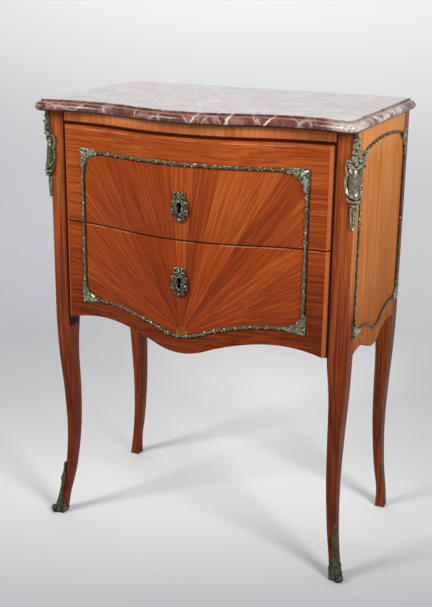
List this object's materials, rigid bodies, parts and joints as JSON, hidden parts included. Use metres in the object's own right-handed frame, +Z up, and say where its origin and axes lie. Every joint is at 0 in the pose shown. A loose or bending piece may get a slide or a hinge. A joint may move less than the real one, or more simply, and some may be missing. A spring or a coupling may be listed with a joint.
{
  "type": "commode chest",
  "caption": "Small serpentine commode chest on tall cabriole legs, with drawers that slide out on runners, lock bolts, bronze mounts and a moulded marble top.",
  "frame": {"origin": "on the floor, under the middle of the marble top's oblong", "axes": "+Z up, -Y towards the front where the drawers open, +X to the right seen from the front"},
  "size_m": [0.599, 0.3739, 0.8],
  "materials": {
    "marble": "polished, veined",
    "front_veneer": "french polished veneer",
    "leg_veneer": "french polished veneer",
    "side_veneer": "french polished veneer",
    "carcass_oak": "planed, unpolished",
    "drawer_oak": "planed, waxed",
    "bronze": "patinated gilt bronze",
    "lock_iron": "filed iron"
  },
  "bodies": {
    "carcass": {"back_bottom_rail": "carcass_oak", "back_panel": "carcass_oak", "back_top_rail": "carcass_oak", "bottom_board": "carcass_oak", "bottom_rail": "carcass_oak", "corner_mount_left": "bronze", "corner_mount_right": "bronze", "dust_board": "carcass_oak", "front_top_rail": "leg_veneer", "leg_back_left": "leg_veneer", "leg_back_right": "leg_veneer", "leg_front_left": "leg_veneer", "leg_front_right": "leg_veneer", "lower_guide_left": "carcass_oak", "lower_guide_right": "carcass_oak", "lower_runner_left": "carcass_oak", "lower_runner_right": "carcass_oak", "marble_top": "marble", "middle_rail": "carcass_oak", "sabot_left": "bronze", "sabot_right": "bronze", "side_frame_left": "bronze", "side_frame_right": "bronze", "side_panel_left": "side_veneer", "side_panel_right": "side_veneer", "side_top_rail_left": "carcass_oak", "side_top_rail_right": "carcass_oak", "upper_guide_left": "carcass_oak", "upper_guide_right": "carcass_oak", "upper_runner_left": "carcass_oak", "upper_runner_right": "carcass_oak"},
    "upper_drawer": {"upper_drawer_front": "front_veneer", "upper_drawer_side_left": "drawer_oak", "upper_drawer_side_right": "drawer_oak", "upper_drawer_back": "drawer_oak", "upper_drawer_bottom": "drawer_oak", "upper_escutcheon": "bronze", "upper_frame": "bronze", "upper_lock_case": "lock_iron", "upper_bolt_staple": "lock_iron"},
    "lower_drawer": {"lower_drawer_front": "front_veneer", "lower_drawer_side_left": "drawer_oak", "lower_drawer_side_right": "drawer_oak", "lower_drawer_back": "drawer_oak", "lower_drawer_bottom": "drawer_oak", "lower_escutcheon": "bronze", "lower_frame": "bronze", "lower_lock_case": "lock_iron", "lower_bolt_staple": "lock_iron"},
    "upper_bolt": {"upper_lock_bolt": "lock_iron"},
    "lower_bolt": {"lower_lock_bolt": "lock_iron"}
  },
  "joints": [
    {"name": "upper_drawer_slide", "type": "slide", "parent": "carcass", "child": "upper_drawer", "axis": [0, -1, 0], "range_m": [0, 0.2]},
    {"name": "upper_bolt_throw", "type": "slide", "parent": "upper_drawer", "child": "upper_bolt", "axis": [0, 0, 1], "range_m": [0, 0.008]},
    {"name": "lower_drawer_slide", "type": "slide", "parent": "carcass", "child": "lower_drawer", "axis": [0, -1, 0], "range_m": [0, 0.2]},
    {"name": "lower_bolt_throw", "type": "slide", "parent": "lower_drawer", "child": "lower_bolt", "axis": [0, 0, 1], "range_m": [0, 0.008]}
  ]
}
